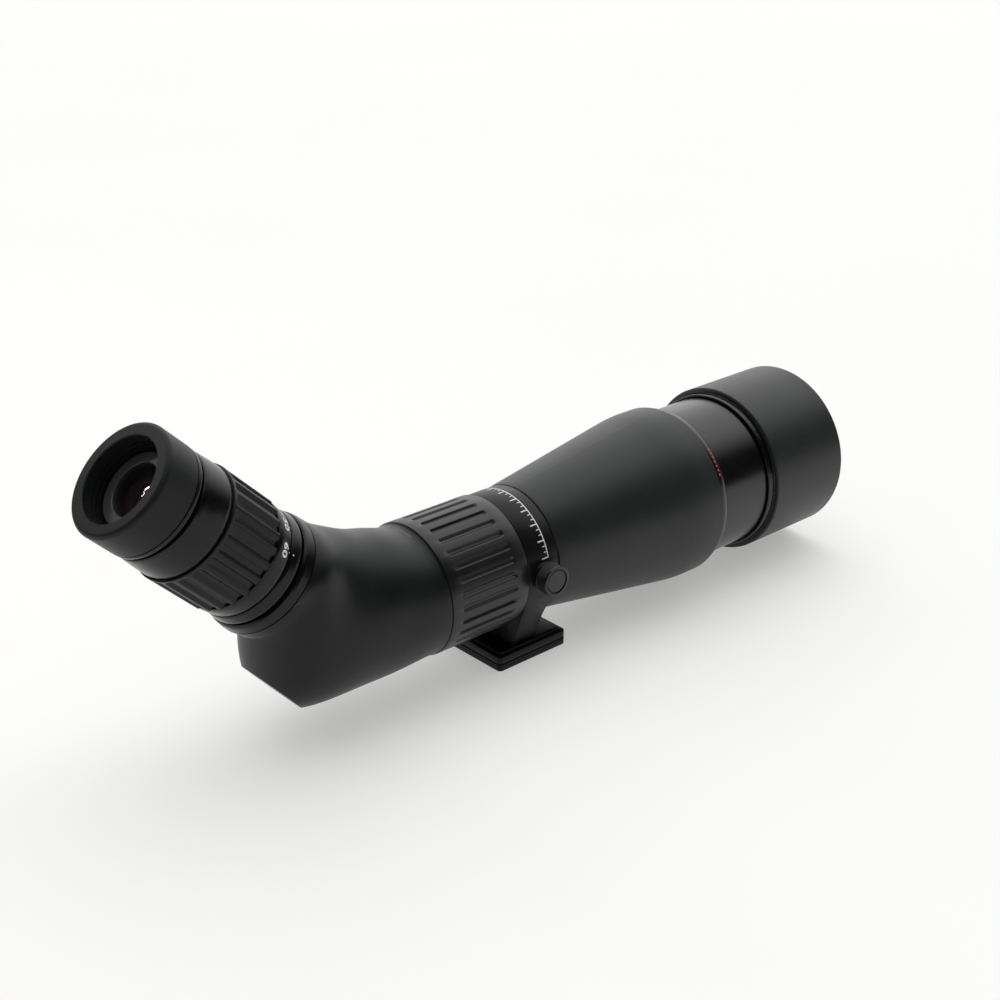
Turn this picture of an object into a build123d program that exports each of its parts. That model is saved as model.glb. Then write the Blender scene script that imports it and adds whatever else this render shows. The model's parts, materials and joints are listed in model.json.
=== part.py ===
from build123d import *
import os
from math import cos, radians, sin, tan

os.makedirs("parts", exist_ok=True)

# An angled zoom spotting scope on its tripod collar. Millimetres, +Z up, +Y towards the
# objective, +X to the lock knob's side. The origin is the centre of the tripod thread, in
# the underside of the foot. Half sections are given as (station along the axis, radius).

# ------------------------------------------------------------------ driving dimensions
AXIS_HEIGHT = 52.2  # main optical axis above the foot's underside
BEND_Y = -108.9  # where the eyepiece axis leaves the main axis
BEND_ANGLE = 45.0  # eyepiece axis above the horizontal
THREAD_FIT = 0.05  # radial gap of a screwed or glued joint
RUNNING_FIT = 0.06  # radial gap of a sliding or turning joint

FOOT_WIDTH = 52.8  # across, along X
FOOT_LENGTH = 47.5  # along Y
FOOT_PLATE_TOP = 3.9
FOOT_GROOVE_TOP = 4.6
FOOT_TOP = 8.2
FOOT_PLATFORM_TOP = 9.3
FOOT_BORDER = 2.7  # step between the foot's edge and its raised platform
FOOT_CORNER = 2.5
THREAD_RADIUS = 3.175  # 1/4-20 tripod thread, major radius
THREAD_DEPTH = 8.0
INSERT_RADIUS = 5.0
FOOT_SCREW_X = 19.0
FOOT_SCREW_Y = 16.5
FOOT_SCREW_RADIUS = 1.5
FOOT_SCREW_HEAD = 3.0
FOOT_SCREW_LENGTH = 7.4

NECK_HALF_WIDTH = 21.0  # where the neck meets the foot
NECK_TAPER = 19.9  # lean of the neck's side walls from the vertical
NECK_REAR = -10.2
NECK_FRONT = 5.5
COLLAR_REAR = -11.0
COLLAR_FRONT = 10.3
COLLAR_RADIUS = 34.8
COLLAR_BORE = 31.45
LINER_BORE = 30.06
BOSS_RADIUS = 7.6
BOSS_FACE = 35.6

KNOB_BACK = 36.1
KNOB_FACE = 44.4
KNOB_RADIUS = 8.4
KNOB_RECESS_RADIUS = 6.8
KNOB_RECESS = 0.7
KNOB_FLUTES = 36
LOCK_SCREW_RADIUS = 2.5
SHOE_RADIUS = 2.4

TUBE_BORE = 27.0
TUBE_RADIUS = 30.0
TUBE_REAR = -66.5
TUBE_FRONT = 13.9

FOCUS_REAR = -61.7
FOCUS_FRONT = -11.3
FOCUS_RADIUS = 35.6
FOCUS_RIBS = 30
FOCUS_GROOVE_REAR = -55.0
FOCUS_GROOVE_FRONT = -18.7
FOCUS_GROOVE_DEPTH = 1.3
FOCUS_GROOVE_WIDTH = 3.3
FOCUS_GROOVE_FIRST = 5.9  # angle of one groove from the top, towards +X
FOCUS_CORE_RADIUS = 33.3
FOCUS_TRAVEL = 7.5  # of the inner lens, each way
FOCUS_PIN_Y = -34.0
FOCUS_PIN_RADIUS = 1.5
FOCUS_PIN_REACH = 31.6

HOUSING_REAR = 10.6
HOUSING_FRONT = 122.9
HOUSING_WALL = 2.3
BARREL_RADIUS = 44.3
BARREL_BORE = 42.3
BARREL_REAR = 100.0
BARREL_FRONT = 181.0
LENS_RADIUS = 41.0
SHADE_RADIUS = 49.0
SHADE_BORE = 46.4
SHADE_REAR = 169.4
SHADE_FRONT = 227.6
SHADE_TRAVEL = 36.0

ELBOW_FRONT = -62.1
ELBOW_WALL = 2.6
PRISM_FACE_Y = -98.0  # entrance face
PRISM_HALF_WIDTH = 15.0
PRISM_REACH = 15.0  # entrance face to the first reflection, along the main axis

EYE_TUBE_RADIUS = 24.0
EYE_TUBE_BORE = 21.4
EYE_STEM_RADIUS = 20.0
EYE_STEM_BORE = 17.5
EYE_STEP = 109.5
EYE_STEM_TOP = 137.6
ZOOM_REAR = 68.5
ZOOM_TOP = 109.2
ZOOM_RADIUS = 29.6
ZOOM_CORE_RADIUS = 26.9
ZOOM_RIBS = 24
ZOOM_GROOVE_DEPTH = 1.4
ZOOM_GROOVE_WIDTH = 3.4
ZOOM_GROOVE_FIRST = -2.3  # angle of one groove from the top, towards -X
ZOOM_PIN_RADIUS = 1.2
ZOOM_FRONT_PIN = 75.0
ZOOM_FRONT_TRAVEL = 8.0
ZOOM_REAR_PIN = 101.0
ZOOM_REAR_TRAVEL = 7.0
SLEEVE_TOP = 127.0
SLEEVE_BORE = 25.3
EYECUP_RADIUS = 28.2
EYECUP_RIM = 149.8
EYECUP_OPENING = 21.3
EYECUP_TRAVEL = 8.0
EYECUP_PIN = 117.0
CARRIER_RADIUS = 21.9
EYECUP_CORE_RADIUS = 25.0

# ------------------------------------------------------------------ axes and tools
MAIN = Plane(origin=(0, 0, AXIS_HEIGHT), x_dir=(0, 1, 0), z_dir=(1, 0, 0))
EYE_DIRECTION = (0, -cos(radians(BEND_ANGLE)), sin(radians(BEND_ANGLE)))
EYE = Plane(origin=(0, BEND_Y, AXIS_HEIGHT), x_dir=EYE_DIRECTION, z_dir=(-1, 0, 0))


def turn(frame, corners, mode=Mode.ADD):
    """Turn a closed half section about a frame's axis."""
    with BuildSketch(frame) as section:
        with BuildLine():
            Polyline(*corners, close=True)
        make_face()
    revolve(section.sketch.faces(), axis=Axis(frame.origin, frame.x_dir), mode=mode)


def ring(frame, start, end, inner, outer, mode=Mode.ADD):
    """Plain ring between two stations."""
    turn(frame, [(start, inner), (end, inner), (end, outer), (start, outer)], mode)


def lens(frame, start, edge, radius, rear_bulge, front_bulge):
    """Lens with its rim between two stations; a negative bulge is a hollow face."""
    with BuildSketch(frame) as section:
        with BuildLine():
            TangentArc((start - rear_bulge, 0), (start, radius), tangent=(0, 1))
            Line((start, radius), (start + edge, radius))
            TangentArc((start + edge + front_bulge, 0), (start + edge, radius), tangent=(0, 1))
            Line((start - rear_bulge, 0), (start + edge + front_bulge, 0))
        make_face()
    revolve(section.sketch.faces(), axis=Axis(frame.origin, frame.x_dir))


def spokes(frame, station, radius, count, first=0.0):
    """Planes round an axis, each facing outwards, with its x along the axis."""
    planes = []
    for index in range(count):
        angle = radians(first + index * 360 / count)
        outward = frame.y_dir * cos(angle) + frame.z_dir * sin(angle)
        origin = frame.from_local_coords((station, 0, 0)) + outward * radius
        planes.append(Plane(origin=origin, x_dir=frame.x_dir, z_dir=outward))
    return planes


def pins(frame, station, radius, inner, outer, count, first=0.0, mode=Mode.ADD):
    """Round pins that stand out from an axis."""
    with Locations(*spokes(frame, station, inner, count, first)):
        Cylinder(
            radius, outer - inner, align=(Align.CENTER, Align.CENTER, Align.MIN), mode=mode
        )


def slots(frame, start, end, width, inner, outer, count, first=0.0):
    """Straight slots along an axis, cut through a wall."""
    middle = (start + end) / 2
    with Locations(*spokes(frame, middle, (inner + outer) / 2, count, first)):
        Box(end - start, width, outer - inner, mode=Mode.SUBTRACT)


# ------------------------------------------------------------------ foot
with BuildPart() as foot_plate:
    with BuildSketch():
        RectangleRounded(FOOT_WIDTH, FOOT_LENGTH, FOOT_CORNER)
    extrude(amount=FOOT_PLATE_TOP)
    chamfer(foot_plate.faces().sort_by(Axis.Z)[0].edges(), 0.4)
    with Locations((0, 0, 0)):
        Cylinder(
            INSERT_RADIUS + THREAD_FIT,
            FOOT_PLATE_TOP,
            align=(Align.CENTER, Align.CENTER, Align.MIN),
            mode=Mode.SUBTRACT,
        )
    with Locations(Plane.XY.rotated((180, 0, 0))):
        with GridLocations(2 * FOOT_SCREW_X, 2 * FOOT_SCREW_Y, 2, 2):
            CounterSinkHole(FOOT_SCREW_RADIUS + 0.15, FOOT_SCREW_HEAD + 0.3, FOOT_PLATE_TOP, 90)

with BuildPart() as foot_screws:
    with GridLocations(2 * FOOT_SCREW_X, 2 * FOOT_SCREW_Y, 2, 2):
        Cylinder(
            FOOT_SCREW_RADIUS,
            FOOT_SCREW_LENGTH,
            align=(Align.CENTER, Align.CENTER, Align.MIN),
        )
    with BuildSketch(Plane.XY.offset(0.1)):
        with GridLocations(2 * FOOT_SCREW_X, 2 * FOOT_SCREW_Y, 2, 2):
            Circle(FOOT_SCREW_HEAD)
    extrude(amount=FOOT_SCREW_HEAD - FOOT_SCREW_RADIUS, taper=45)
    split(bisect_by=Plane.XY.offset(0.1), keep=Keep.TOP)
    with BuildSketch(Plane.XY):
        with GridLocations(2 * FOOT_SCREW_X, 2 * FOOT_SCREW_Y, 2, 2):
            RegularPolygon(1.1, 6)
    extrude(amount=1.0, mode=Mode.SUBTRACT)

with BuildPart() as thread_insert:
    Cylinder(INSERT_RADIUS, THREAD_DEPTH, align=(Align.CENTER, Align.CENTER, Align.MIN))
    Cylinder(
        THREAD_RADIUS,
        THREAD_DEPTH,
        align=(Align.CENTER, Align.CENTER, Align.MIN),
        mode=Mode.SUBTRACT,
    )

# ------------------------------------------------------------------ collar casting
NECK_TANGENT_X = COLLAR_RADIUS * cos(radians(NECK_TAPER))
NECK_TANGENT_Z = AXIS_HEIGHT - COLLAR_RADIUS * sin(radians(NECK_TAPER))
with BuildPart() as collar:
    # the neck leans in from the collar ring to the foot, and its front face curves in
    with BuildSketch(Plane.XZ.offset(-COLLAR_FRONT)):
        with BuildLine():
            Polyline(
                (-NECK_HALF_WIDTH, FOOT_TOP - 0.5),
                (NECK_HALF_WIDTH, FOOT_TOP - 0.5),
                (NECK_TANGENT_X, NECK_TANGENT_Z),
                (-NECK_TANGENT_X, NECK_TANGENT_Z),
                close=True,
            )
        make_face()
    extrude(amount=COLLAR_FRONT - COLLAR_REAR)
    with BuildSketch(Plane.YZ.offset(-COLLAR_RADIUS)):
        with BuildLine():
            Polyline(
                (NECK_FRONT, 20.0),
                (NECK_FRONT, FOOT_TOP - 0.5),
                (NECK_REAR, FOOT_TOP - 0.5),
                (NECK_REAR, NECK_TANGENT_Z),
                (COLLAR_FRONT - 0.4, NECK_TANGENT_Z),
                (COLLAR_FRONT - 0.4, 35.0),
            )
            TangentArc((NECK_FRONT, 20.0), (COLLAR_FRONT - 0.4, 35.0), tangent=(0, 1))
        make_face()
    extrude(amount=2 * COLLAR_RADIUS, mode=Mode.INTERSECT)
    turn(
        MAIN,
        [
            (COLLAR_REAR, 0),
            (COLLAR_REAR, COLLAR_RADIUS - 0.5),
            (COLLAR_REAR + 0.5, COLLAR_RADIUS),
            (COLLAR_FRONT - 0.5, COLLAR_RADIUS),
            (COLLAR_FRONT, COLLAR_RADIUS - 0.5),
            (COLLAR_FRONT, 0),
        ],
    )
    with Locations(Plane(origin=(0, 0, AXIS_HEIGHT), z_dir=(1, 0, 0))):
        Cylinder(BOSS_RADIUS, BOSS_FACE, align=(Align.CENTER, Align.CENTER, Align.MIN))
    ring(MAIN, COLLAR_REAR - 1, COLLAR_FRONT + 1, 0, COLLAR_BORE, Mode.SUBTRACT)
    pins(MAIN, 0, LOCK_SCREW_RADIUS + RUNNING_FIT, 25, BOSS_FACE + 1, 1, 90, Mode.SUBTRACT)
    # the foot's upper half, above the groove that runs round its side
    with BuildSketch(Plane.XY.offset(FOOT_PLATE_TOP)):
        RectangleRounded(FOOT_WIDTH - 2.4, FOOT_LENGTH - 2.4, FOOT_CORNER)
    extrude(amount=FOOT_GROOVE_TOP - FOOT_PLATE_TOP)
    with BuildSketch(Plane.XY.offset(FOOT_GROOVE_TOP)):
        RectangleRounded(FOOT_WIDTH, FOOT_LENGTH, FOOT_CORNER)
    extrude(amount=FOOT_TOP - FOOT_GROOVE_TOP)
    with BuildSketch(Plane.XY.offset(FOOT_TOP)):
        RectangleRounded(
            FOOT_WIDTH - 2 * FOOT_BORDER, FOOT_LENGTH - 2 * FOOT_BORDER, FOOT_CORNER
        )
    extrude(amount=FOOT_PLATFORM_TOP - FOOT_TOP)
    with Locations((0, 0, FOOT_PLATE_TOP)):
        Cylinder(
            INSERT_RADIUS + THREAD_FIT,
            THREAD_DEPTH - FOOT_PLATE_TOP + 0.3,
            align=(Align.CENTER, Align.CENTER, Align.MIN),
            mode=Mode.SUBTRACT,
        )
        with GridLocations(2 * FOOT_SCREW_X, 2 * FOOT_SCREW_Y, 2, 2):
            Cylinder(
                FOOT_SCREW_RADIUS + THREAD_FIT,
                FOOT_SCREW_LENGTH - FOOT_PLATE_TOP + 0.3,
                align=(Align.CENTER, Align.CENTER, Align.MIN),
                mode=Mode.SUBTRACT,
            )

with BuildPart() as collar_liner:
    ring(MAIN, COLLAR_REAR + 0.3, COLLAR_FRONT - 0.1, LINER_BORE, COLLAR_BORE - THREAD_FIT)
    pins(MAIN, 0, SHOE_RADIUS + 0.15, 25, 35, 1, 90, Mode.SUBTRACT)

# ------------------------------------------------------------------ lock knob
with BuildPart() as lock_shoe:
    pins(MAIN, 0, SHOE_RADIUS, TUBE_RADIUS + 0.2, 31.9, 1, 90)

with BuildPart() as lock_screw:
    pins(MAIN, 0, LOCK_SCREW_RADIUS, 32.1, 40.4, 1, 90)

KNOB = Plane(origin=(0, 0, AXIS_HEIGHT), x_dir=(1, 0, 0), z_dir=(0, 1, 0))
with BuildPart() as lock_knob:
    turn(
        KNOB,
        [
            (KNOB_BACK, 0),
            (KNOB_BACK, KNOB_RADIUS - 1.2),
            (KNOB_BACK + 0.6, KNOB_RADIUS - 0.5),
            (KNOB_BACK + 0.6, KNOB_RADIUS),
            (KNOB_FACE - 0.6, KNOB_RADIUS),
            (KNOB_FACE, KNOB_RADIUS - 0.6),
            (KNOB_FACE, KNOB_RECESS_RADIUS),
            (KNOB_FACE - KNOB_RECESS, KNOB_RECESS_RADIUS),
            (KNOB_FACE - KNOB_RECESS, 0),
        ],
    )
    slots(
        KNOB,
        KNOB_BACK + 1.0,
        KNOB_FACE - 0.9,
        0.45,
        KNOB_RADIUS - 0.3,
        KNOB_RADIUS + 1,
        KNOB_FLUTES,
    )
    pins(
        MAIN,
        0,
        LOCK_SCREW_RADIUS + THREAD_FIT,
        KNOB_BACK - 1,
        40.5,
        1,
        90,
        Mode.SUBTRACT,
    )

# ------------------------------------------------------------------ body tube and focuser
with BuildPart() as body_tube:
    ring(MAIN, TUBE_REAR, TUBE_FRONT, TUBE_BORE, TUBE_RADIUS)
    slots(
        MAIN,
        FOCUS_PIN_Y - FOCUS_TRAVEL - FOCUS_PIN_RADIUS - 0.4,
        FOCUS_PIN_Y + FOCUS_TRAVEL + FOCUS_PIN_RADIUS + 0.4,
        2 * FOCUS_PIN_RADIUS + 0.4,
        TUBE_BORE - 1,
        TUBE_RADIUS + 1,
        3,
    )

FOCUS_CORE_BORE = TUBE_RADIUS + RUNNING_FIT
FOCUS_SEAL_STATIONS = (-57.5, -15.2)
with BuildPart() as focus_core:
    ring(MAIN, FOCUS_REAR + 0.2, FOCUS_FRONT - 0.2, FOCUS_CORE_BORE, FOCUS_CORE_RADIUS)
    ring(MAIN, -46.0, -22.0, FOCUS_CORE_BORE - 1, FOCUS_PIN_REACH + 0.3, Mode.SUBTRACT)
    for station in FOCUS_SEAL_STATIONS:
        ring(MAIN, station - 0.95, station + 0.95, FOCUS_CORE_BORE - 1, 31.65, Mode.SUBTRACT)

with BuildPart() as focus_seals:
    for station in FOCUS_SEAL_STATIONS:
        with Locations(Plane(origin=(0, station, AXIS_HEIGHT), z_dir=(0, 1, 0))):
            Torus(30.85, 0.7)

with BuildPart() as focus_ring:
    turn(
        MAIN,
        [
            (FOCUS_REAR, FOCUS_CORE_RADIUS + THREAD_FIT),
            (FOCUS_REAR, FOCUS_RADIUS - 0.5),
            (FOCUS_REAR + 0.5, FOCUS_RADIUS),
            (FOCUS_FRONT - 0.5, FOCUS_RADIUS),
            (FOCUS_FRONT, FOCUS_RADIUS - 0.5),
            (FOCUS_FRONT, FOCUS_CORE_RADIUS + THREAD_FIT),
        ],
    )
    slots(
        MAIN,
        FOCUS_GROOVE_REAR,
        FOCUS_GROOVE_FRONT,
        FOCUS_GROOVE_WIDTH,
        FOCUS_RADIUS - FOCUS_GROOVE_DEPTH,
        FOCUS_RADIUS + 1,
        FOCUS_RIBS,
        FOCUS_GROOVE_FIRST,
    )

CARRIAGE_REAR = -46.0
CARRIAGE_FRONT = -22.0
with BuildPart() as focus_carriage:
    ring(MAIN, CARRIAGE_REAR, CARRIAGE_FRONT, 24.0, TUBE_BORE - RUNNING_FIT)
    ring(MAIN, CARRIAGE_REAR, CARRIAGE_REAR + 2.0, 22.0, 24.5)
    pins(MAIN, FOCUS_PIN_Y, FOCUS_PIN_RADIUS + 0.02, 22.0, 28.0, 3, mode=Mode.SUBTRACT)

with BuildPart() as focus_pins:
    pins(MAIN, FOCUS_PIN_Y, FOCUS_PIN_RADIUS, 24.6, FOCUS_PIN_REACH, 3)

with BuildPart() as focus_lens_rear:
    lens(MAIN, CARRIAGE_REAR + 2.1, 3.0, 23.9, -0.9, -1.4)

with BuildPart() as focus_lens_front:
    lens(MAIN, CARRIAGE_REAR + 5.2, 4.0, 23.9, 1.3, -0.8)

with BuildPart() as focus_lens_retainer:
    ring(MAIN, CARRIAGE_REAR + 9.4, CARRIAGE_REAR + 11.4, 22.0, 23.9)

# ------------------------------------------------------------------ front housing
SHOULDER_START = 100.0
SHOULDER_END = 114.0
CONE_ROOT = (13.6, 35.4)
CONE_TIP = (SHOULDER_START, 48.05)
CONE_SLOPE = (CONE_TIP[1] - CONE_ROOT[1]) / (CONE_TIP[0] - CONE_ROOT[0])
SHOULDER_RADIUS = 49.07
LAND_START = 104.0
LAND_BORE = BARREL_RADIUS + THREAD_FIT
with BuildPart() as front_housing:
    with BuildSketch(MAIN):
        with BuildLine():
            Polyline((HOUSING_REAR, 34.4), (HOUSING_REAR + 0.5, 34.9), CONE_ROOT, CONE_TIP)
            TangentArc(CONE_TIP, (SHOULDER_END, SHOULDER_RADIUS), tangent=(1, CONE_SLOPE))
            Polyline(
                (SHOULDER_END, SHOULDER_RADIUS),
                (HOUSING_FRONT - 0.8, SHOULDER_RADIUS),
                (HOUSING_FRONT, SHOULDER_RADIUS - 0.8),
                (HOUSING_FRONT, LAND_BORE),
                (LAND_START, LAND_BORE),
                (LAND_START, 46.4),
                (SHOULDER_START, CONE_TIP[1] - HOUSING_WALL),
                (CONE_ROOT[0] + 1.4, CONE_ROOT[1] - HOUSING_WALL),
                (CONE_ROOT[0] + 1.4, TUBE_RADIUS + THREAD_FIT),
                (HOUSING_REAR, TUBE_RADIUS + THREAD_FIT),
                (HOUSING_REAR, 34.4),
            )
        make_face()
    revolve(axis=Axis(MAIN.origin, MAIN.x_dir))

with BuildPart() as objective_barrel:
    ring(MAIN, BARREL_REAR, BARREL_FRONT, BARREL_BORE, BARREL_RADIUS)

TRIM_FRONT = 128.2
with BuildPart() as trim_ring:
    turn(
        MAIN,
        [
            (HOUSING_FRONT + 0.3, LAND_BORE),
            (HOUSING_FRONT + 0.3, 47.9),
            (TRIM_FRONT - 0.4, 47.2),
            (TRIM_FRONT, 46.8),
            (TRIM_FRONT, LAND_BORE),
        ],
    )

GUIDE_FRONT = 176.5
with BuildPart() as barrel_stop_ring:
    ring(MAIN, GUIDE_FRONT + 0.5, BARREL_FRONT - 0.4, LAND_BORE, SHADE_BORE - 0.4)

# ------------------------------------------------------------------ objective lens
CELL_REAR = 150.0
with BuildPart() as objective_cell:
    ring(MAIN, CELL_REAR, 177.0, LENS_RADIUS + THREAD_FIT, BARREL_BORE - THREAD_FIT)
    ring(MAIN, CELL_REAR, CELL_REAR + 3.0, 39.6, BARREL_BORE - THREAD_FIT)

with BuildPart() as objective_rear_lens:
    lens(MAIN, CELL_REAR + 3.2, 7.5, LENS_RADIUS, 0.8, -3.6)

with BuildPart() as objective_spacer:
    ring(MAIN, CELL_REAR + 10.8, CELL_REAR + 12.7, 40.2, LENS_RADIUS)

with BuildPart() as objective_front_lens:
    lens(MAIN, CELL_REAR + 12.9, 3.4, LENS_RADIUS, 3.0, 4.2)

with BuildPart() as objective_retainer:
    ring(MAIN, CELL_REAR + 16.7, CELL_REAR + 19.7, 39.6, LENS_RADIUS)
    slots(MAIN, CELL_REAR + 18.7, CELL_REAR + 20.0, 2.0, 39.0, 41.5, 4)

# ------------------------------------------------------------------ sunshade
with BuildPart() as sunshade:
    turn(
        MAIN,
        [
            (SHADE_REAR, SHADE_BORE),
            (SHADE_REAR, SHADE_RADIUS - 0.7),
            (SHADE_REAR + 0.7, SHADE_RADIUS),
            (SHADE_FRONT - 1.0, SHADE_RADIUS),
            (SHADE_FRONT - 0.3, SHADE_RADIUS - 0.3),
            (SHADE_FRONT, SHADE_RADIUS - 1.0),
            (SHADE_FRONT, SHADE_BORE + 0.4),
            (SHADE_FRONT - 0.4, SHADE_BORE),
        ],
    )

GUIDE_REAR = 165.1
FELT_REAR = 167.0
FELT_FRONT = 174.0
FELT_DEPTH = 45.2
with BuildPart() as sunshade_guide:
    turn(
        MAIN,
        [
            (GUIDE_REAR, 44.6),
            (GUIDE_REAR, 45.6),
            (GUIDE_REAR + 0.4, 46.0),
            (SHADE_REAR - 0.1, 46.0),
            (SHADE_REAR - 0.1, SHADE_BORE - THREAD_FIT),
            (GUIDE_FRONT, SHADE_BORE - THREAD_FIT),
            (GUIDE_FRONT, 44.6),
        ],
    )
    ring(MAIN, FELT_REAR - 0.1, FELT_FRONT + 0.1, 44, FELT_DEPTH + THREAD_FIT, Mode.SUBTRACT)

with BuildPart() as sunshade_felt:
    ring(MAIN, FELT_REAR, FELT_FRONT, BARREL_RADIUS + RUNNING_FIT, FELT_DEPTH)

# ------------------------------------------------------------------ prism housing
# Each section of the elbow is an oval: its top and bottom point as (station, height above
# the main axis), and its half width across.
ELBOW = [
    ((ELBOW_FRONT, 35.2), (ELBOW_FRONT, -35.2), 35.2),
    ((-74.0, 36.4), (-86.0, -35.7), 35.7),
    ((-85.0, 39.8), (-109.0, -35.9), 35.8),
    ((-92.5, 42.0), (-129.0, -35.9), 35.7),
    ((-100.0, 45.0), (-147.0, -32.8), 34.9),
    ((-111.0, 50.2), (-155.9, -9.5), 33.2),
    ((BEND_Y - 16.3, 60.0), (BEND_Y - 60.0, 16.3), 30.9),
]
# A flat chamfer across the elbow's lower rear corner, through these two mid-plane points.
FACET_REAR = MAIN.from_local_coords((-153.2, -16.0, 0))
FACET_FRONT = MAIN.from_local_coords((-139.0, -32.5, 0))
FACET = Plane(
    origin=FACET_REAR, x_dir=(1, 0, 0), z_dir=(FACET_FRONT - FACET_REAR).cross(Vector(1, 0, 0))
)
CAVITY_FRONT = -67.0


def elbow_oval(top, bottom, half_width, wall):
    """One oval section of the elbow, brought in by the wall."""
    head = MAIN.from_local_coords((top[0], top[1], 0))
    base = MAIN.from_local_coords((bottom[0], bottom[1], 0))
    rise = head - base
    plane = Plane(origin=(head + base) / 2, x_dir=rise, z_dir=Vector(1, 0, 0).cross(rise))
    with BuildSketch(plane) as oval:
        Ellipse(rise.length / 2 - wall, half_width - wall)
    return oval.sketch.faces()[0]


# The eyepiece's seat closes the top of the elbow and is bored for the eyepiece tube.
SEAT_TOP = 53.9
SEAT_DEPTH = 7.0
SHOULDER_REAR = -101.0
SHOULDER_BORE = 27.0
SCREW_CIRCLE = 29.0
CRADLE_SCREW_RADIUS = 1.2
with BuildPart() as elbow_cavity:
    loft(
        [
            elbow_oval((CAVITY_FRONT, 35.2), (CAVITY_FRONT, -35.2), 35.2, ELBOW_WALL),
            *[elbow_oval(*section, wall=ELBOW_WALL) for section in ELBOW[1:-1]],
            elbow_oval(*ELBOW[-1], wall=ELBOW_WALL + 2.0),
        ]
    )
    split(bisect_by=FACET.offset(-ELBOW_WALL), keep=Keep.BOTTOM)

with BuildPart() as prism_housing:
    loft([elbow_oval(*section, wall=0) for section in ELBOW])
    split(bisect_by=FACET, keep=Keep.BOTTOM)
    add(elbow_cavity.part, mode=Mode.SUBTRACT)
    ring(EYE, SEAT_TOP - SEAT_DEPTH, SEAT_TOP - 0.3, EYE_TUBE_RADIUS, 30.0)
    ring(EYE, SEAT_TOP - 8, SEAT_TOP + 1, 0, EYE_TUBE_RADIUS + THREAD_FIT, Mode.SUBTRACT)
    ring(MAIN, ELBOW_FRONT - 8, ELBOW_FRONT + 1, 0, TUBE_RADIUS + THREAD_FIT, Mode.SUBTRACT)
    # inner shoulder that the prism's cradle is screwed to
    ring(MAIN, SHOULDER_REAR, PRISM_FACE_Y, SHOULDER_BORE, 33.4)
    with Locations(*spokes(MAIN, 0, SCREW_CIRCLE, 3)):
        with Locations(Plane(origin=(PRISM_FACE_Y, 0, 0), z_dir=(-1, 0, 0))):
            Cylinder(
                CRADLE_SCREW_RADIUS + THREAD_FIT,
                2.6,
                align=(Align.CENTER, Align.CENTER, Align.MIN),
                mode=Mode.SUBTRACT,
            )

# ------------------------------------------------------------------ prism
# A roofed prism turns the light up the eyepiece: its exit face leans at the bend angle from
# its entrance face, and the roof closes the triangle below them.
PRISM_BOTTOM = -26.0
EXIT_Y = PRISM_FACE_Y - PRISM_REACH
PRISM_DROP = PRISM_REACH + PRISM_FACE_Y - BEND_Y
ROOF_LEAN = tan(radians(BEND_ANGLE / 2))
ROOF_END = PRISM_DROP / (1 + ROOF_LEAN)
with BuildPart() as roof_prism:
    with BuildSketch(MAIN):
        with BuildLine():
            Polyline(
                (PRISM_FACE_Y, PRISM_REACH - 1.0),
                (PRISM_FACE_Y, PRISM_BOTTOM),
                (PRISM_FACE_Y - 6.0, PRISM_BOTTOM),
                (EXIT_Y - ROOF_END + 1.0, 1.0 - ROOF_END),
                (PRISM_FACE_Y - 1.0, PRISM_REACH - 1.0),
                close=True,
            )
        make_face()
    extrude(amount=PRISM_HALF_WIDTH, both=True)
    # the roof's two faces meet at a right angle along the triangle's lower side
    with BuildSketch(
        Plane(
            origin=MAIN.from_local_coords((EXIT_Y - ROOF_END, -ROOF_END, 0)),
            x_dir=(1, 0, 0),
            z_dir=(0, -1, ROOF_LEAN),
        )
    ):
        with BuildLine():
            Polyline((0, 0), (30, 30), (30, 80), (-30, 80), (-30, 30), close=True)
        make_face()
    extrude(amount=70, both=True, mode=Mode.INTERSECT)

CRADLE_FRONT = PRISM_FACE_Y + 3.0
CRADLE_REAR = PRISM_FACE_Y + 0.1
CHEEK_INSIDE = PRISM_HALF_WIDTH + 0.1
CHEEK_OUTSIDE = PRISM_HALF_WIDTH + 2.5
with BuildPart() as prism_cradle:
    ring(MAIN, CRADLE_REAR, CRADLE_FRONT, 14.5, 31.0)
    with BuildSketch(Plane.YZ.offset(CHEEK_INSIDE)):
        with BuildLine():
            Polyline(
                (CRADLE_REAR + 0.5, AXIS_HEIGHT - 10),
                (CRADLE_REAR + 0.5, AXIS_HEIGHT + 10.5),
                (PRISM_FACE_Y - 3.0, AXIS_HEIGHT + 10.5),
                (PRISM_FACE_Y - 23.5, AXIS_HEIGHT - 10),
                close=True,
            )
        make_face()
    extrude(amount=CHEEK_OUTSIDE - CHEEK_INSIDE)
    mirror(about=Plane.YZ)
    with Locations(*spokes(MAIN, 0, SCREW_CIRCLE, 3)):
        with Locations(Plane(origin=(CRADLE_FRONT, 0, 0), z_dir=(-1, 0, 0))):
            Cylinder(
                CRADLE_SCREW_RADIUS + 0.15,
                3.2,
                align=(Align.CENTER, Align.CENTER, Align.MIN),
                mode=Mode.SUBTRACT,
            )

with BuildPart() as cradle_screws:
    with Locations(*spokes(MAIN, 0, SCREW_CIRCLE, 3)):
        with Locations(Plane(origin=(CRADLE_FRONT + 0.05, 0, 0), z_dir=(-1, 0, 0))):
            Cylinder(
                CRADLE_SCREW_RADIUS, 5.4, align=(Align.CENTER, Align.CENTER, Align.MIN)
            )
            Cylinder(1.9, 1.5, align=(Align.CENTER, Align.CENTER, Align.MAX))

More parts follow.
